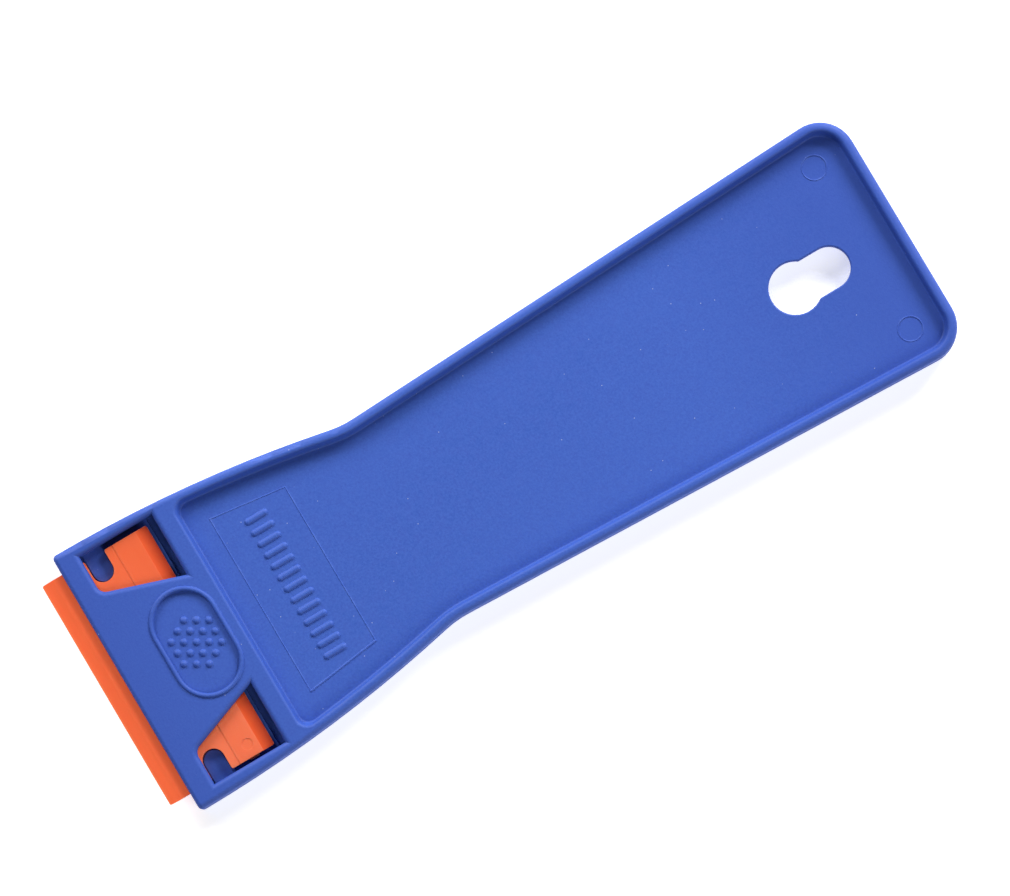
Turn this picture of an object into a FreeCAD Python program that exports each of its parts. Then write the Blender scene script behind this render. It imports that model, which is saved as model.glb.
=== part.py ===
import FreeCAD, Part
import math
import os

from FreeCAD import Vector

# A flat plastic scraper: a one-piece moulded handle that holds a double-edged plastic blade.
# Millimetres. +X runs from the blade to the tail, +Y across the handle, +Z out of the front face.
# The origin is the middle of the whole footprint, on the plane that the back rests on.

# ---- overall ----
TOTAL_LENGTH = 138.6
THICKNESS = 5.4
MID_Z = THICKNESS / 2
BLADE_EDGE_X = -TOTAL_LENGTH / 2
TAIL_X = TOTAL_LENGTH / 2

# ---- blade: a standard 1.5 inch plastic blade with two edges ----
BLADE_LENGTH = 38.1
BLADE_DEPTH = 18.1
BLADE_THICKNESS = 1.5
BLADE_REACH = 3.5              # how far it stands out of the head
BEVEL_WIDTH = 1.9
BEVEL_DROP = 0.3               # on the upper face; the lower face rises steeply to meet it
EDGE_THICKNESS = 0.2
SPINE_HALF_WIDTH = 3.2         # the shallow band along the middle of each face
SPINE_SINK = 0.08
NOTCH_WIDTH = 3.5
NOTCH_DEPTH = 4.3
NOTCH_MOUTH_RADIUS = 0.3
BLADE_CORNER_RADIUS = 0.3
BLADE_MARK_FROM_REAR = 3.5      # ejector pin mark near one end
BLADE_MARK_FROM_END = 2.05
BLADE_MARK_RADIUS = 0.9
BLADE_MARK_SINK = 0.08
BLADE_GATE_WIDTH = 1.6         # stub of the gate that the plastic came in by, on the same end
BLADE_GATE_HEIGHT = 0.8
BLADE_GATE_STAND = 0.25

BLADE_MID_X = BLADE_EDGE_X + BLADE_DEPTH / 2
BLADE_REAR_X = BLADE_EDGE_X + BLADE_DEPTH
BLADE_HALF_LENGTH = BLADE_LENGTH / 2
NOTCH_ARC_Y = BLADE_HALF_LENGTH - NOTCH_DEPTH + NOTCH_WIDTH / 2

# ---- handle outline ----
HEAD_X = BLADE_EDGE_X + BLADE_REACH
HEAD_HALF_WIDTH = 22.05
HEAD_SIDE_RADIUS = 218.0       # the long curve from the head's front corner to the waist
WAIST_X = -18.4
WAIST_RADIUS = 16.0
FLARE = 0.0413                 # how fast each side widens from the waist to the tail
TAIL_CORNER_RADIUS = 5.6
OUTER_ROUND = 0.9
HEAD_FRONT_ROUND = 0.65

# ---- trays sunk in the front and the back, with the web left between them ----
WEB_THICKNESS = 1.6
TRAY_FOOT_INSET = 1.85         # from the handle's edge to the foot of the rim's inner wall
TRAY_MOUTH_INSET = 1.5
TRAY_FOOT_FRONT_X = -46.1
TRAY_TAIL_RADIUS = 3.8
TRAY_FRONT_RADIUS = 1.8
TRAY_FLOOR_ROUND = 0.3
RIM_INNER_ROUND = 0.5

TRAY_DEPTH = (THICKNESS - WEB_THICKNESS) / 2
FRONT_FLOOR_Z = THICKNESS - TRAY_DEPTH
BACK_FLOOR_Z = TRAY_DEPTH
TRAY_MOUTH_FRONT_X = TRAY_FOOT_FRONT_X - (TRAY_FOOT_INSET - TRAY_MOUTH_INSET)

# ---- blade slot ----
SLOT_CLEARANCE = 0.1           # above and below the blade
SLOT_FLOOR_Z = 2.7             # high, so that the cover plate over the blade is thin
SLOT_CEILING_Z = SLOT_FLOOR_Z + BLADE_THICKNESS + 2 * SLOT_CLEARANCE
SLOT_HALF_WIDTH = 20.0
SLOT_REAR_X = -48.3            # it runs on a little under the bridge behind the windows
SLOT_MOUTH_CHAMFER = 0.25
GROOVE_FRONT_X = BLADE_REAR_X + 0.45
GROOVE_DEPTH = 1.8
BLADE_BOTTOM_Z = SLOT_FLOOR_Z + SLOT_CLEARANCE
BLADE_MID_Z = BLADE_BOTTOM_Z + BLADE_THICKNESS / 2

# ---- lugs that fill the blade's end notches ----
LUG_GAP = 0.12
LUG_HEIGHT = 0.3
LUG_ROUND = 0.12
LUG_HALF_WIDTH = NOTCH_WIDTH / 2 - LUG_GAP

# ---- windows in the cover plate ----
WINDOW_REAR_X = -49.62
WINDOW_CORNER_RADIUS = 1.5
WINDOW_ROUND = 0.75
# for each side: X of the front end, Y of the slanted side at the front and rear ends, Y of the outer side
WINDOWS = {1: (-62.2, 13.7, 9.47, SLOT_HALF_WIDTH),
           -1: (-61.95, 13.98, 9.4, SLOT_HALF_WIDTH - 0.3)}

# ---- oval thumb pad between the windows ----
PAD_X = -53.5
PAD_BEAD_HALF_WIDTH = 5.08     # to the crest of the bead
PAD_BEAD_HALF_LENGTH = 8.52
PAD_BEAD_RADIUS = 0.4
PAD_BEAD_STAND = 0.28
PAD_SINK = 0.4
PIP_PITCH = 1.9
PIP_RADIUS = 0.6
PIP_HEIGHT = 0.35
PIP_RINGS = 2

# ---- keyhole in the web, for hanging ----
KEYHOLE_X = 50.75
KEYHOLE_RADIUS = 4.05
KEYHOLE_SLOT_X = 56.6
KEYHOLE_SLOT_RADIUS = 3.25
KEYHOLE_CUSP_RADIUS = 0.4
KEYHOLE_ROUND = 0.25

# ---- marks on the tray floors ----
PIN_MARK_X = 62.4
PIN_MARK_Y = 14.1
PIN_MARK_RADIUS = 1.9
PIN_MARK_SINK = 0.04
FLASH_RADIUS = 0.12            # thin round ridges left by the joints in the mould
FLASH_STAND = 0.07
PANEL_FRONT_X = -42.5          # faint outline of the mould's exchangeable panel
PANEL_REAR_X = -30.3
PANEL_FRONT_HALF_WIDTH = 15.0
PANEL_REAR_HALF_WIDTH = 13.4
PANEL_HEAVY_RADIUS = 0.22
PANEL_HEAVY_STAND = 0.12
RIB_COUNT = 13
RIB_PITCH = 1.95
RIB_FRONT_X = -37.8            # centres of the ribs' round ends
RIB_REAR_X = -34.9
RIB_WIDTH = 1.1                # at the tray floor
RIB_STAND = 0.3
GATE_RADIUS = 2.2              # where the plastic entered the mould, in the back tray
GATE_SINK = 0.25
GATE_NUB_RADIUS = 0.6
GATE_NUB_STAND = 0.15

# ---- line left where the mould's halves meet, round the handle's edge ----
PARTING_LINE_WIDTH = 0.16
PARTING_LINE_STAND = 0.04

SIDES = (1, -1)
UP = Vector(0, 0, 1)
ON_WIRE = 1e-4                 # how near an edge's middle must be to count as lying on a wire
CLEAR = 1.0                    # how far a cutting tool runs past the face it cuts


def middle(edge):
    return edge.valueAt((edge.FirstParameter + edge.LastParameter) / 2)


def edges_along(solid, guide):
    """The edges of a solid that lie on a guide wire."""
    return [edge for edge in solid.Edges
            if guide.distToShape(Part.Vertex(middle(edge)))[0] < ON_WIRE]


def is_upright(edge):
    start, end = edge.Vertexes[0].Point, edge.Vertexes[-1].Point
    return math.hypot(start.x - end.x, start.y - end.y) < ON_WIRE < abs(start.z - end.z)


def round_uprights(solid, radius, x, reach=0.5):
    """Rounds the upright edges of a solid that stand within `reach` of x."""
    chosen = [edge for edge in solid.Edges if is_upright(edge) and abs(middle(edge).x - x) < reach]
    return solid.makeFillet(radius, chosen)


def closed_wire(points, z):
    corners = [Vector(x, y, z) for x, y in points]
    return Part.makePolygon(corners + corners[:1])


def prism(points, low_z, high_z):
    return Part.Face(closed_wire(points, low_z)).extrude(UP * (high_z - low_z))


def block(x_range, y_range, z_range):
    low_x, high_x = x_range
    low_y, high_y = y_range
    low_z, high_z = z_range
    return Part.makeBox(high_x - low_x, high_y - low_y, high_z - low_z, Vector(low_x, low_y, low_z))


def disc(x, y, radius, low_z, high_z):
    return Part.makeCylinder(radius, high_z - low_z, Vector(x, y, low_z))


def sphere_radius(half_width, stand):
    """The radius of a sphere or bar that stands this far out of a floor, given its half-width there."""
    return (half_width ** 2 + stand ** 2) / (2 * stand)


def round_bar(start, end, radius):
    """A round bar with round ends, from one point to another."""
    bar = Part.makeCylinder(radius, start.distanceToPoint(end), start, end - start)
    return bar.fuse([Part.makeSphere(radius, start), Part.makeSphere(radius, end)])


def stadium_wire(centre, half_x, half_y, z):
    """A slot shape whose round ends point along whichever of X and Y is longer."""
    radius = min(half_x, half_y)
    run_x, run_y = half_x - radius, half_y - radius
    long_way = Vector(run_x, run_y, 0)
    across = Vector(radius if run_y else 0, radius if run_x else 0, 0)
    onward = Vector(radius if run_x else 0, radius if run_y else 0, 0)
    middle_point = Vector(centre[0], centre[1], z)
    far, near = middle_point + long_way, middle_point - long_way
    return Part.Wire([
        Part.Arc(far + across, far + onward, far - across).toShape(),
        Part.LineSegment(far - across, near - across).toShape(),
        Part.Arc(near - across, near - onward, near + across).toShape(),
        Part.LineSegment(near + across, far + across).toShape(),
    ])


# ---- handle ----

def head_side_y(x):
    """Half-width of the head where its side is one long curve."""
    return HEAD_HALF_WIDTH - HEAD_SIDE_RADIUS + math.sqrt(HEAD_SIDE_RADIUS ** 2 - (x - HEAD_X) ** 2)


def plan_face():
    """The handle's outline seen from the front, with its waist and tail corners left sharp."""
    curve_x = (HEAD_X + WAIST_X) / 2
    waist_y = head_side_y(WAIST_X)
    tail_y = waist_y + FLARE * (TAIL_X - WAIST_X)
    edges = []
    for side in SIDES:
        head = Vector(HEAD_X, side * HEAD_HALF_WIDTH, 0)
        curve = Vector(curve_x, side * head_side_y(curve_x), 0)
        waist = Vector(WAIST_X, side * waist_y, 0)
        tail = Vector(TAIL_X, side * tail_y, 0)
        edges.append(Part.Arc(head, curve, waist).toShape())
        edges.append(Part.LineSegment(waist, tail).toShape())
    edges.append(Part.LineSegment(Vector(TAIL_X, tail_y, 0), Vector(TAIL_X, -tail_y, 0)).toShape())
    edges.append(Part.LineSegment(Vector(HEAD_X, HEAD_HALF_WIDTH, 0),
                                  Vector(HEAD_X, -HEAD_HALF_WIDTH, 0)).toShape())
    return Part.Face(Part.Wire(Part.__sortEdges__(edges)))


def plan_block(inset, tail_radius, low_z, high_z):
    """A straight-sided block with the handle's outline, drawn in by `inset`."""
    plan = plan_face().makeOffset2D(-inset, 2) if inset else plan_face()
    solid = plan.extrude(UP * (high_z - low_z))
    solid = round_uprights(solid, WAIST_RADIUS + inset, WAIST_X)
    solid = round_uprights(solid, tail_radius, TAIL_X - inset)
    solid.translate(UP * low_z)
    return solid


def bottom_wire(solid):
    return min(solid.Faces, key=lambda face: face.CenterOfMass.z).OuterWire


def tray_wire(inset, front_x, z):
    """The outline of a tray at one height."""
    solid = plan_block(inset, TRAY_TAIL_RADIUS, z, z + CLEAR)
    head_part = block((HEAD_X - CLEAR, front_x), (-HEAD_HALF_WIDTH, HEAD_HALF_WIDTH),
                      (z - CLEAR, z + 2 * CLEAR))
    solid = solid.cut(head_part)
    solid = round_uprights(solid, TRAY_FRONT_RADIUS, front_x)
    return bottom_wire(solid)


def cut_tray(body, mirrored):
    """Sinks a tray with sloping walls into the front or, mirrored, into the back."""
    foot = tray_wire(TRAY_FOOT_INSET, TRAY_FOOT_FRONT_X, FRONT_FLOOR_Z)
    mouth = tray_wire(TRAY_MOUTH_INSET, TRAY_MOUTH_FRONT_X, THICKNESS)
    tool = Part.makeLoft([foot, mouth], True, True)
    tool = tool.makeFillet(TRAY_FLOOR_ROUND, edges_along(tool, foot))
    if mirrored:
        tool = tool.mirror(Vector(0, 0, MID_Z), UP)
        mouth = mouth.mirror(Vector(0, 0, MID_Z), UP)
    body = body.cut(tool)
    return body.makeFillet(RIM_INNER_ROUND, edges_along(body, mouth))


def envelope():
    """The handle's solid outside shape: a flat slab with a bullnose edge."""
    body = plan_block(0, TAIL_CORNER_RADIUS, 0, THICKNESS)
    rim_edges = [edge for edge in body.Edges
                 if not is_upright(edge) and middle(edge).x > HEAD_X + ON_WIRE]
    body = body.makeFillet(OUTER_ROUND, rim_edges)
    front_edges = [edge for edge in body.Edges if edge.BoundBox.XMax < HEAD_X + ON_WIRE]
    return body.makeFillet(HEAD_FRONT_ROUND, front_edges)


def parting_line():
    """A thin flat band that stands just proud of the sides and the tail at mid-height."""
    low_z, high_z = MID_Z - PARTING_LINE_WIDTH / 2, MID_Z + PARTING_LINE_WIDTH / 2
    outside = plan_block(-PARTING_LINE_STAND, TAIL_CORNER_RADIUS + PARTING_LINE_STAND, low_z, high_z)
    inside = plan_block(PARTING_LINE_STAND, TAIL_CORNER_RADIUS - PARTING_LINE_STAND, low_z, high_z)
    head_corners = block((HEAD_X - CLEAR, HEAD_X + HEAD_FRONT_ROUND),
                         (-HEAD_HALF_WIDTH - CLEAR, HEAD_HALF_WIDTH + CLEAR), (low_z, high_z))
    return outside.cut([inside, head_corners])


def cut_blade_slot(body):
    slot = block((HEAD_X - CLEAR, SLOT_REAR_X), (-SLOT_HALF_WIDTH, SLOT_HALF_WIDTH),
                 (SLOT_FLOOR_Z, SLOT_CEILING_Z))
    groove = block((GROOVE_FRONT_X, SLOT_REAR_X), (-SLOT_HALF_WIDTH, SLOT_HALF_WIDTH),
                   (SLOT_FLOOR_Z - GROOVE_DEPTH, SLOT_FLOOR_Z))
    body = body.cut(slot.fuse(groove))
    mouth = [edge for edge in body.Edges
             if edge.BoundBox.XMax < HEAD_X + ON_WIRE
             and abs(middle(edge).y) < SLOT_HALF_WIDTH + ON_WIRE
             and SLOT_FLOOR_Z - ON_WIRE < middle(edge).z < SLOT_CEILING_Z + ON_WIRE]
    return body.makeChamfer(SLOT_MOUTH_CHAMFER, mouth)


def cut_window(body, side):
    """Opens one window through the cover plate, down to the blade."""
    front_x, front_inner_y, rear_inner_y, outer_y = WINDOWS[side]
    corners = [(front_x, side * front_inner_y), (WINDOW_REAR_X, side * rear_inner_y),
               (WINDOW_REAR_X, side * outer_y), (front_x, side * outer_y)]
    tool = prism(corners, SLOT_CEILING_Z, THICKNESS)
    inner_corner = [edge for edge in tool.Edges
                    if is_upright(edge)
                    and middle(edge).x < front_x + ON_WIRE
                    and abs(middle(edge).y) < front_inner_y + ON_WIRE]
    tool = tool.makeFillet(WINDOW_CORNER_RADIUS, inner_corner)
    rim = max(tool.Faces, key=lambda face: face.CenterOfMass.z).OuterWire
    body = body.cut(tool)
    return body.makeFillet(WINDOW_ROUND, edges_along(body, rim))


def pad_pips():
    """Low round pips on the pad: one in the middle, with a hexagon of pips round it for each ring."""
    radius = sphere_radius(PIP_RADIUS, PIP_HEIGHT)
    z = THICKNESS - PAD_SINK + PIP_HEIGHT - radius
    row_step = PIP_PITCH * math.sqrt(3) / 2
    pips = []
    for row in range(-PIP_RINGS, PIP_RINGS + 1):
        count = 2 * PIP_RINGS + 1 - abs(row)
        for column in range(count):
            y = PIP_PITCH * (column - (count - 1) / 2)
            pips.append(Part.makeSphere(radius, Vector(PAD_X + row * row_step, y, z), UP, 0, 90, 360))
    return pips


def add_thumb_pad(body):
    """A shallow oval recess with a raised bead round it."""
    crest = stadium_wire((PAD_X, 0), PAD_BEAD_HALF_WIDTH, PAD_BEAD_HALF_LENGTH,
                         THICKNESS + PAD_BEAD_STAND - PAD_BEAD_RADIUS)
    start = crest.Edges[1].valueAt(crest.Edges[1].FirstParameter)
    section = Part.Wire(Part.makeCircle(PAD_BEAD_RADIUS, start, Vector(0, 1, 0)))
    bead = crest.makePipeShell([section], True, True)
    recess_wire = stadium_wire((PAD_X, 0), PAD_BEAD_HALF_WIDTH, PAD_BEAD_HALF_LENGTH, THICKNESS - PAD_SINK)
    recess = Part.Face(recess_wire).extrude(UP * PAD_SINK)
    return body.cut(recess).fuse([bead] + pad_pips())


def cut_keyhole(body):
    circle = disc(KEYHOLE_X, 0, KEYHOLE_RADIUS, BACK_FLOOR_Z, FRONT_FLOOR_Z)
    slot = block((KEYHOLE_X, KEYHOLE_SLOT_X), (-KEYHOLE_SLOT_RADIUS, KEYHOLE_SLOT_RADIUS),
                 (BACK_FLOOR_Z, FRONT_FLOOR_Z))
    slot_end = disc(KEYHOLE_SLOT_X, 0, KEYHOLE_SLOT_RADIUS, BACK_FLOOR_Z, FRONT_FLOOR_Z)
    tool = circle.fuse([slot, slot_end]).removeSplitter()
    cusp_x = KEYHOLE_X + math.sqrt(KEYHOLE_RADIUS ** 2 - KEYHOLE_SLOT_RADIUS ** 2)
    tool = round_uprights(tool, KEYHOLE_CUSP_RADIUS, cusp_x)
    rims = [face.OuterWire for face in tool.Faces if abs(face.normalAt(0, 0).z) > 1 - ON_WIRE]
    body = body.cut(tool)
    for rim in rims:
        body = body.makeFillet(KEYHOLE_ROUND, edges_along(body, rim))
    return body


def panel_outline():
    """A faint ridge on the tray floor, round the mould's exchangeable panel, heavier along its -Y side."""
    corners = [(PANEL_FRONT_X, -PANEL_FRONT_HALF_WIDTH), (PANEL_REAR_X, -PANEL_REAR_HALF_WIDTH),
               (PANEL_REAR_X, PANEL_REAR_HALF_WIDTH), (PANEL_FRONT_X, PANEL_FRONT_HALF_WIDTH)]
    ends = corners[1:] + corners[:1]
    ridges = [(PANEL_HEAVY_RADIUS, PANEL_HEAVY_STAND)] + [(FLASH_RADIUS, FLASH_STAND)] * 3
    bars = []
    for start, end, (radius, stand) in zip(corners, ends, ridges):
        z = FRONT_FLOOR_Z + stand - radius
        bars.append(round_bar(Vector(*start, z), Vector(*end, z), radius))
    return bars


def grip_ribs():
    """A row of identical low ribs across the head end of the front tray."""
    radius = sphere_radius(RIB_WIDTH / 2, RIB_STAND)
    z = FRONT_FLOOR_Z + RIB_STAND - radius
    ribs = []
    for index in range(RIB_COUNT):
        y = RIB_PITCH * (index - (RIB_COUNT - 1) / 2)
        ribs.append(round_bar(Vector(RIB_FRONT_X, y, z), Vector(RIB_REAR_X, y, z), radius))
    return ribs


def add_floor_marks(body):
    """Pin marks, panel outline and ribs in the front tray, and the gate mark in the back tray."""
    gate = disc(0, 0, GATE_RADIUS, BACK_FLOOR_Z, BACK_FLOOR_Z + GATE_SINK)
    nub = disc(0, 0, GATE_NUB_RADIUS, BACK_FLOOR_Z + GATE_SINK - GATE_NUB_STAND, BACK_FLOOR_Z + GATE_SINK)
    sunk = [gate]
    raised = [nub] + panel_outline() + grip_ribs()
    for side in SIDES:
        y = side * PIN_MARK_Y
        sunk.append(disc(PIN_MARK_X, y, PIN_MARK_RADIUS, FRONT_FLOOR_Z - PIN_MARK_SINK, FRONT_FLOOR_Z))
        ridge_centre = Vector(PIN_MARK_X, y, FRONT_FLOOR_Z + FLASH_STAND - FLASH_RADIUS)
        raised.append(Part.makeTorus(PIN_MARK_RADIUS, FLASH_RADIUS, ridge_centre))
    return body.cut(sunk).fuse(raised)


def make_handle():
    body = plan_block(0, TAIL_CORNER_RADIUS, 0, THICKNESS)
    body = cut_tray(body, mirrored=False)
    body = cut_tray(body, mirrored=True)
    for side in SIDES:
        body = cut_window(body, side)
    body = cut_keyhole(body)
    body = body.common(envelope())
    body = body.fuse(parting_line())
    body = cut_blade_slot(body)
    body = add_thumb_pad(body)
    body = add_floor_marks(body)
    return body


# ---- lugs ----

def make_lugs():
    """Two round-nosed lugs that stand on the slot floor and run out to its side walls."""
    lugs = []
    for side in SIDES:
        nose = disc(BLADE_MID_X, side * NOTCH_ARC_Y, LUG_HALF_WIDTH, SLOT_FLOOR_Z, SLOT_FLOOR_Z + LUG_HEIGHT)
        low_y, high_y = sorted((side * NOTCH_ARC_Y, side * SLOT_HALF_WIDTH))
        root = block((BLADE_MID_X - LUG_HALF_WIDTH, BLADE_MID_X + LUG_HALF_WIDTH), (low_y, high_y),
                     (SLOT_FLOOR_Z, SLOT_FLOOR_Z + LUG_HEIGHT))
        lug = nose.fuse(root).removeSplitter()
        top = [edge for edge in lug.Edges
               if middle(edge).z > SLOT_FLOOR_Z + LUG_HEIGHT - ON_WIRE
               and abs(middle(edge).y) < SLOT_HALF_WIDTH - ON_WIRE]
        lugs.append(lug.makeFillet(LUG_ROUND, top))
    return Part.makeCompound(lugs)


# ---- blade ----

def blade_section():
    """The blade cut across its edges: thin at both edges, with a shallow band along each face's middle."""
    half_depth = BLADE_DEPTH / 2
    half_thickness = BLADE_THICKNESS / 2
    edge_top_z = half_thickness - BEVEL_DROP
    rear_half = [(SPINE_HALF_WIDTH, half_thickness - SPINE_SINK), (SPINE_HALF_WIDTH, half_thickness),
                 (half_depth - BEVEL_WIDTH, half_thickness), (half_depth, edge_top_z),
                 (half_depth, edge_top_z - EDGE_THICKNESS), (half_depth - BEVEL_WIDTH, -half_thickness),
                 (SPINE_HALF_WIDTH, -half_thickness), (SPINE_HALF_WIDTH, SPINE_SINK - half_thickness)]
    front_half = [(-x, z) for x, z in reversed(rear_half)]
    corners = [Vector(BLADE_MID_X + x, -BLADE_HALF_LENGTH, BLADE_MID_Z + z)
               for x, z in rear_half + front_half]
    return Part.Face(Part.makePolygon(corners + corners[:1]))


def make_blade():
    blade = blade_section().extrude(Vector(0, BLADE_LENGTH, 0))
    for x in (BLADE_EDGE_X, BLADE_REAR_X):
        blade = round_uprights(blade, BLADE_CORNER_RADIUS, x)
    for side in SIDES:
        low_y, high_y = sorted((side * NOTCH_ARC_Y, side * (BLADE_HALF_LENGTH + CLEAR)))
        mouth = block((BLADE_MID_X - NOTCH_WIDTH / 2, BLADE_MID_X + NOTCH_WIDTH / 2), (low_y, high_y),
                      (0, THICKNESS))
        bottom = disc(BLADE_MID_X, side * NOTCH_ARC_Y, NOTCH_WIDTH / 2, 0, THICKNESS)
        blade = blade.cut([mouth, bottom])
    mouth_edges = [edge for edge in blade.Edges
                   if is_upright(edge)
                   and abs(middle(edge).x - BLADE_MID_X) < SPINE_HALF_WIDTH - ON_WIRE
                   and abs(middle(edge).y) > BLADE_HALF_LENGTH - ON_WIRE]
    blade = blade.makeFillet(NOTCH_MOUTH_RADIUS, mouth_edges)
    mark_x = BLADE_REAR_X - BLADE_MARK_FROM_REAR
    mark_y = BLADE_MARK_FROM_END - BLADE_HALF_LENGTH
    top_z = BLADE_MID_Z + BLADE_THICKNESS / 2
    mark = disc(mark_x, mark_y, BLADE_MARK_RADIUS, top_z - BLADE_MARK_SINK, top_z)
    gate = block((mark_x - BLADE_GATE_WIDTH / 2, mark_x + BLADE_GATE_WIDTH / 2),
                 (-BLADE_HALF_LENGTH - BLADE_GATE_STAND, -BLADE_HALF_LENGTH),
                 (BLADE_MID_Z - BLADE_GATE_HEIGHT / 2, BLADE_MID_Z + BLADE_GATE_HEIGHT / 2))
    return blade.cut(mark).fuse(gate)


os.makedirs("parts", exist_ok=True)
PARTS = {"handle": make_handle(), "blade": make_blade(), "blade_retaining_lugs": make_lugs()}
for name, shape in PARTS.items():
    shape.exportStep(f"parts/{name}.step")
    box = shape.BoundBox
    print(f"{name}: {len(shape.Solids)} solid(s), valid {shape.isValid()}, {shape.Volume:.1f} mm3")
    for axis in "XYZ":
        print(f"    {axis} {getattr(box, axis + 'Min'):.2f} to {getattr(box, axis + 'Max'):.2f}")
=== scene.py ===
import math

import bpy
from mathutils import Matrix, Vector


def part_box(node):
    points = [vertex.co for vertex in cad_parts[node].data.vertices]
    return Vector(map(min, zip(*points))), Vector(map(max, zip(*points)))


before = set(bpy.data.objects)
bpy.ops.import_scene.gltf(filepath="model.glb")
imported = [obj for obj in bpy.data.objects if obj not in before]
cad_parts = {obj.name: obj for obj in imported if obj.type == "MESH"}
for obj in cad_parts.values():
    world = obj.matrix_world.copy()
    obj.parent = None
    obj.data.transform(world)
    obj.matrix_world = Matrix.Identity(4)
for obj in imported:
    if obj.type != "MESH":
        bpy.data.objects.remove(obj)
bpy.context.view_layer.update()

# The plastic scraper lying on a pale table, seen from almost straight above.
# Metres, in the frame of the CAD model: +X from the blade to the tail, +Z out of the front face.

MM = 0.001
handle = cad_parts["handle"]
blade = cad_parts["blade"]
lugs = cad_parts["blade_retaining_lugs"]


# ---- node helpers ----

FLAT_AGREEMENT = 0.98           # cosine between the true and the rounded normal where a face counts as flat
EDGE_AGREEMENT = 0.85           # and where it counts as a full edge


class Nodes:
    """A short way to build one material's node tree, with coordinates in millimetres."""

    def __init__(self, name):
        self.material = bpy.data.materials.new(name)
        self.material.use_nodes = True
        self.tree = self.material.node_tree
        self.shader = self.tree.nodes["Principled BSDF"]
        place = self.tree.nodes.new("ShaderNodeTexCoord")
        scale = self.tree.nodes.new("ShaderNodeMapping")
        scale.inputs["Scale"].default_value = (1 / MM,) * 3
        self.link(place.outputs["Object"], scale.inputs["Vector"])
        self.place_mm = scale.outputs["Vector"]

    def link(self, source, target):
        self.tree.links.new(source, target)

    def feed(self, socket, value):
        """Links a socket, or sets it where value is a plain number or colour."""
        if isinstance(value, bpy.types.NodeSocket):
            self.link(value, socket)
        else:
            socket.default_value = value

    def noise(self, period_mm, detail=2.0, roughness=0.5, stretch=None):
        node = self.tree.nodes.new("ShaderNodeTexNoise")
        node.inputs["Scale"].default_value = 1 / period_mm
        node.inputs["Detail"].default_value = detail
        node.inputs["Roughness"].default_value = roughness
        self.link(self.stretched(stretch) if stretch else self.place_mm, node.inputs["Vector"])
        return node.outputs["Fac"]

    def stretched(self, factors):
        node = self.tree.nodes.new("ShaderNodeMapping")
        node.inputs["Scale"].default_value = factors
        self.link(self.place_mm, node.inputs["Vector"])
        return node.outputs["Vector"]

    def specks(self, period_mm, radius, rarity):
        """1 in small round dots: one cell in every few, chosen by the cell's random colour."""
        cells = self.tree.nodes.new("ShaderNodeTexVoronoi")
        cells.inputs["Scale"].default_value = 1 / period_mm
        self.link(self.place_mm, cells.inputs["Vector"])
        near = self.remap(cells.outputs["Distance"], radius, radius * 0.5, 0.0, 1.0)
        split = self.tree.nodes.new("ShaderNodeSeparateColor")
        self.link(cells.outputs["Color"], split.inputs["Color"])
        chosen = self.math("GREATER_THAN", split.outputs["Red"], rarity)
        return self.math("MULTIPLY", near, chosen)

    def edges(self, reach_mm):
        """1 on sharp edges, fading to 0 about reach_mm away from them."""
        rounded = self.tree.nodes.new("ShaderNodeBevel")
        rounded.inputs["Radius"].default_value = reach_mm * MM
        surface = self.tree.nodes.new("ShaderNodeNewGeometry")
        agreement = self.tree.nodes.new("ShaderNodeVectorMath")
        agreement.operation = "DOT_PRODUCT"
        self.link(rounded.outputs["Normal"], agreement.inputs[0])
        self.link(surface.outputs["Normal"], agreement.inputs[1])
        return self.remap(agreement.outputs["Value"], FLAT_AGREEMENT, EDGE_AGREEMENT, 0.0, 1.0)

    def remap(self, value, low, high, new_low, new_high):
        node = self.tree.nodes.new("ShaderNodeMapRange")
        self.feed(node.inputs["Value"], value)
        node.inputs["From Min"].default_value = low
        node.inputs["From Max"].default_value = high
        node.inputs["To Min"].default_value = new_low
        node.inputs["To Max"].default_value = new_high
        return node.outputs["Result"]

    def math(self, operation, first, second):
        node = self.tree.nodes.new("ShaderNodeMath")
        node.operation = operation
        self.feed(node.inputs[0], first)
        self.feed(node.inputs[1], second)
        return node.outputs["Value"]

    def mix(self, share, first, second):
        node = self.tree.nodes.new("ShaderNodeMix")
        node.data_type = "RGBA"
        self.feed(node.inputs["Factor"], share)
        self.feed(node.inputs["A"], first)
        self.feed(node.inputs["B"], second)
        return node.outputs["Result"]

    def axis_mm(self, name):
        node = self.tree.nodes.new("ShaderNodeSeparateXYZ")
        self.link(self.place_mm, node.inputs["Vector"])
        return node.outputs[name]

    def bump(self, height, depth_mm, below=None):
        node = self.tree.nodes.new("ShaderNodeBump")
        node.inputs["Distance"].default_value = depth_mm * MM
        self.feed(node.inputs["Height"], height)
        if below is not None:
            self.link(below, node.inputs["Normal"])
        return node.outputs["Normal"]

    def finish(self, colour, roughness, normal):
        self.feed(self.shader.inputs["Base Color"], colour)
        self.feed(self.shader.inputs["Roughness"], roughness)
        self.feed(self.shader.inputs["Normal"], normal)
        return self.material


def rgb(red, green, blue):
    """A colour given as 0-255 sRGB values."""
    def linear(value):
        value /= 255
        return value / 12.92 if value <= 0.04045 else ((value + 0.055) / 1.055) ** 2.4
    return (linear(red), linear(green), linear(blue), 1.0)


# ---- materials ----

HANDLE_MIDDLE_X_MM = -4.0
ENDS_PAINTED_SHADE_MM = (36.0, 64.0)   # from the handle's middle, where the painted shade of its ends starts, and is darkest


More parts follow.
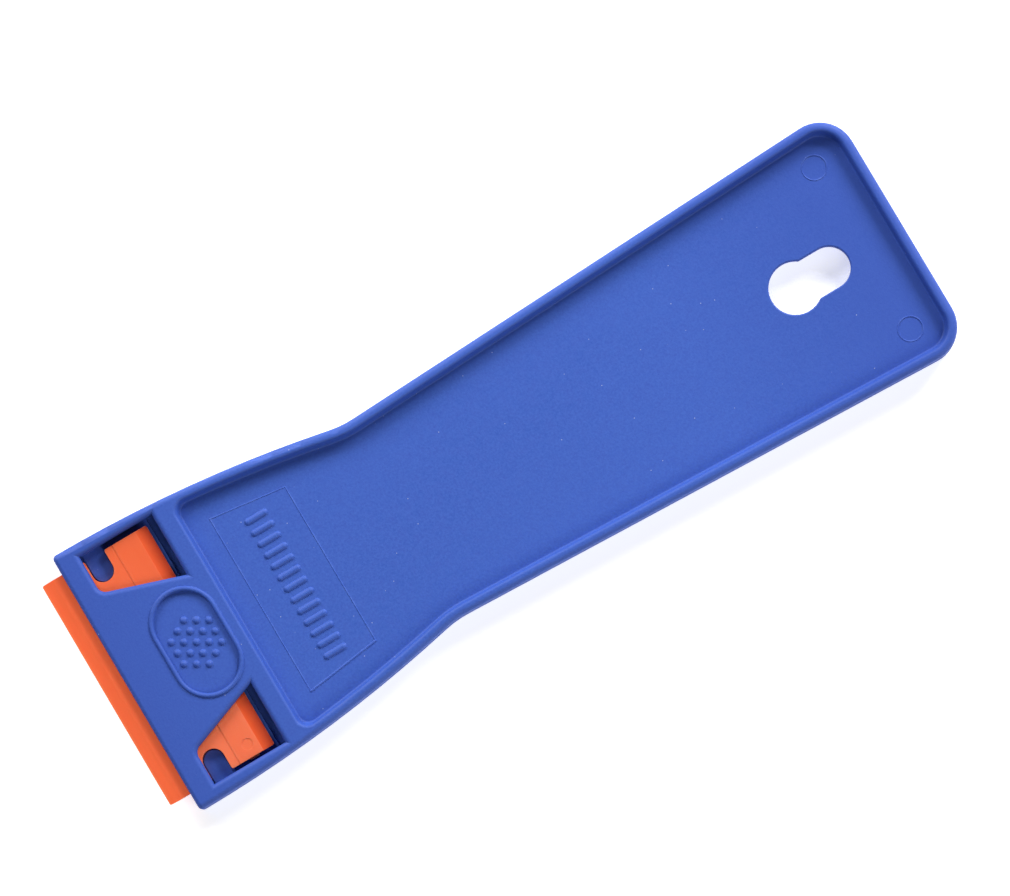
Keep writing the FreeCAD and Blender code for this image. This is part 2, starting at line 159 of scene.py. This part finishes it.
def handle_plastic():
    """Blue plastic with fine mould grain, faint flow patches, ends darkened as painted shade, dust and
    rubbed edges.
    """
    n = Nodes("handle_plastic")
    patches = n.noise(22.0, detail=1.0)
    mottle = n.noise(1.3, detail=2.0)
    grain = n.noise(0.34, detail=3.0, roughness=0.6)
    blue = n.mix(n.remap(patches, 0.35, 0.65, 0.0, 1.0), rgb(50, 85, 175), rgb(55, 88, 179))
    blue = n.mix(n.remap(mottle, 0.35, 0.65, 0.0, 1.0), blue, rgb(56, 86, 176))
    blue = n.mix(n.remap(grain, 0.3, 0.7, 0.0, 1.0), blue, rgb(60, 96, 186))
    # painted shade: the blue darkens towards both ends, where the light falls off along the handle
    from_middle = n.math("ABSOLUTE", n.math("SUBTRACT", n.axis_mm("X"), HANDLE_MIDDLE_X_MM), 0.0)
    blue = n.mix(n.remap(from_middle, *ENDS_PAINTED_SHADE_MM, 0.0, 0.6), blue, rgb(48, 77, 166))
    unevenly = n.remap(n.noise(1.8, detail=3.0), 0.45, 0.7, 0.0, 0.5)
    blue = n.mix(n.math("MULTIPLY", n.edges(0.25), unevenly), blue, rgb(112, 140, 208))
    dust = n.math("ADD", n.specks(1.9, 0.05, 0.5), n.specks(7.3, 0.022, 0.4))
    colour = n.mix(n.math("MULTIPLY", dust, 0.6), blue, rgb(196, 204, 230))
    roughness = n.remap(grain, 0.3, 0.7, 0.52, 0.66)
    wave = n.bump(n.noise(9.0, detail=1.0), 0.05)
    normal = n.bump(grain, 0.02, below=wave)
    n.shader.inputs["Specular IOR Level"].default_value = 0.35
    return n.finish(colour, roughness, normal)


BEVEL_WIDTH_MM = 1.9
BEVEL_BLEND_MM = 0.1
GLOWING_THIN_EDGE_MM = 0.4
PAINTED_GLOW_EDGE_MM = (3.7, 6.8)     # from the front edge, where its painted glow starts to fade, and has faded
PAINTED_SHEEN_END_Y_MM = (-2.0, -11.0)   # where the painted sheen over one end starts, and is full


def blade_plastic():
    """Satin orange plastic with painted light: a painted glow at the working edge, a painted sheen over one
    end and painted shade on the spare bevel.
    """
    n = Nodes("blade_plastic")
    low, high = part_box("blade")
    front, rear = low.x / MM, high.x / MM
    along = n.axis_mm("X")
    streaks = n.noise(1.6, detail=3.0, stretch=(1.0, 0.12, 1.0))
    patches = n.noise(7.0, detail=1.0)
    grain = n.noise(0.3, detail=2.0)
    orange = n.mix(n.remap(patches, 0.35, 0.65, 0.0, 1.0), rgb(231, 101, 58), rgb(234, 104, 62))
    # painted sheen: the -Y end is paler, as if it reflected the light
    orange = n.mix(n.remap(n.axis_mm("Y"), *PAINTED_SHEEN_END_Y_MM, 0.0, 1.0), orange, rgb(237, 117, 79))
    # painted light: the working edge is brightened as if lit through the thin plastic, which also lifts the
    # head's shadow on it
    fades_from, faded_at = (front + reach for reach in PAINTED_GLOW_EDGE_MM)
    orange = n.mix(n.remap(along, faded_at, fades_from, 0.0, 1.0), orange, rgb(255, 111, 64))
    orange = n.mix(n.remap(streaks, 0.35, 0.65, 0.0, 0.3), orange, rgb(224, 92, 46))
    bevel_from = rear - BEVEL_WIDTH_MM
    # painted shade: the spare bevel darkens towards the rear edge, for the shadow of the slot's rear wall
    # and light lost into the dark slot
    shaded_bevel = n.mix(n.remap(along, bevel_from, rear, 0.0, 1.0), rgb(220, 83, 35), rgb(164, 43, 6))
    orange = n.mix(n.remap(along, bevel_from, bevel_from + BEVEL_BLEND_MM, 0.0, 1.0), orange, shaded_bevel)
    # painted light: the thin front edge is paler, as if light shone through it
    orange = n.mix(n.remap(along, front + GLOWING_THIN_EDGE_MM, front, 0.0, 0.6), orange, rgb(248, 140, 84))
    scuffed = n.math("MULTIPLY", n.edges(0.15), n.remap(n.noise(1.1), 0.4, 0.7, 0.1, 0.6))
    colour = n.mix(scuffed, orange, rgb(252, 170, 130))
    roughness = n.remap(streaks, 0.3, 0.7, 0.48, 0.62)
    normal = n.bump(streaks, 0.012, below=n.bump(grain, 0.006))
    n.shader.inputs["Specular IOR Level"].default_value = 0.3
    n.shader.inputs["Subsurface Weight"].default_value = 0.2
    n.shader.inputs["Subsurface Radius"].default_value = (1.0, 0.3, 0.1)
    n.shader.inputs["Subsurface Scale"].default_value = 0.8 * MM
    return n.finish(colour, roughness, normal)


TABLE_GLOW = 0.6


def table_top():
    """White table, lit a little from within so that the scraper's shadow stays pale."""
    n = Nodes("table_top")
    mottle = n.noise(60.0, detail=2.0)
    colour = n.mix(mottle, (0.90, 0.90, 0.90, 1.0), (0.94, 0.94, 0.94, 1.0))
    n.shader.inputs["Emission Color"].default_value = (1.0, 1.0, 1.0, 1.0)
    n.shader.inputs["Emission Strength"].default_value = TABLE_GLOW
    return n.finish(colour, 0.7, n.bump(n.noise(1.5), 0.01))


SHARP_ANGLE = math.radians(32)


def wear(obj, material):
    """Gives a CAD node its finished material and smooth shading between its crisp edges."""
    obj.data.materials.clear()
    obj.data.materials.append(material)
    obj.data.polygons.foreach_set("material_index", [0] * len(obj.data.polygons))
    obj.data.shade_smooth()
    obj.data.set_sharp_from_angle(angle=SHARP_ANGLE)


blue_plastic = handle_plastic()
wear(handle, blue_plastic)
wear(lugs, blue_plastic)
wear(blade, blade_plastic())


# ---- stage ----

FLOOR_HALF = 2.0


def make_floor():
    mesh = bpy.data.meshes.new("floor")
    corners = [(-FLOOR_HALF, -FLOOR_HALF, 0), (FLOOR_HALF, -FLOOR_HALF, 0),
               (FLOOR_HALF, FLOOR_HALF, 0), (-FLOOR_HALF, FLOOR_HALF, 0)]
    mesh.from_pydata(corners, [], [(0, 1, 2, 3)])
    floor = bpy.data.objects.new("floor", mesh)
    floor.data.materials.append(table_top())
    bpy.context.collection.objects.link(floor)


LIGHT_DISTANCE = 0.9
LIGHT_SIZE = 0.42
LIGHTS = (                      # name, azimuth and elevation in degrees, watts
    ("key", 30, 28, 9.2),
    ("side", 105, 28, 6.6),
    ("fill_high", 270, 45, 2.2),
    ("fill_low", 300, 28, 1.7),
)


def make_light(name, azimuth, elevation, watts):
    """A round soft light that faces the object, placed by its direction in degrees."""
    data = bpy.data.lights.new(name, "AREA")
    data.shape = "DISK"
    data.size = LIGHT_SIZE
    data.energy = watts
    lean = Matrix.Rotation(math.radians(90 - elevation), 4, "Y")
    turn = Matrix.Rotation(math.radians(azimuth), 4, "Z") @ lean
    light = bpy.data.objects.new(name, data)
    light.matrix_world = turn @ Matrix.Translation((0, 0, LIGHT_DISTANCE))
    light.visible_camera = False
    bpy.context.collection.objects.link(light)


ROOM_LIGHT = 0.02
WALL_BRIGHTNESS = 0.9


def make_world():
    """A white room: its light is weak, and its walls look about as pale as the table."""
    world = bpy.data.worlds.new("room")
    world.use_nodes = True
    tree = world.node_tree
    lighting = tree.nodes["Background"]
    walls = tree.nodes.new("ShaderNodeBackground")
    rays = tree.nodes.new("ShaderNodeLightPath")
    choice = tree.nodes.new("ShaderNodeMixShader")
    for background, value in ((lighting, ROOM_LIGHT), (walls, WALL_BRIGHTNESS)):
        background.inputs["Color"].default_value = (1.0, 1.0, 1.0, 1.0)
        background.inputs["Strength"].default_value = value
    tree.links.new(rays.outputs["Is Camera Ray"], choice.inputs["Fac"])
    tree.links.new(lighting.outputs["Background"], choice.inputs[1])
    tree.links.new(walls.outputs["Background"], choice.inputs[2])
    tree.links.new(choice.outputs["Shader"], tree.nodes["World Output"].inputs["Surface"])
    bpy.context.scene.world = world


CAMERA_ROLL = math.radians(30.66)       # how far the scraper's axis rises to the right in the picture
CAMERA_TILT = math.radians(4.2)         # how far the camera leans from straight above
CAMERA_DISTANCE = 1.20
CAMERA_TARGET = Vector((1.06, 1.48, 4.4)) * MM
VIEW_WIDTH = 0.1513                     # what the picture spans at the target
SENSOR_WIDTH = 36.0


def make_camera():
    data = bpy.data.cameras.new("camera")
    data.sensor_width = SENSOR_WIDTH
    data.lens = SENSOR_WIDTH * CAMERA_DISTANCE / VIEW_WIDTH
    camera = bpy.data.objects.new("camera", data)
    turn = Matrix.Rotation(CAMERA_TILT, 4, "X") @ Matrix.Rotation(-CAMERA_ROLL, 4, "Z")
    back_off = Matrix.Translation((0, 0, CAMERA_DISTANCE))
    camera.matrix_world = Matrix.Translation(CAMERA_TARGET) @ turn @ back_off
    bpy.context.collection.objects.link(camera)
    bpy.context.scene.camera = camera


make_floor()
make_world()
for light in LIGHTS:
    make_light(*light)
make_camera()
bpy.context.scene.view_settings.view_transform = "Standard"
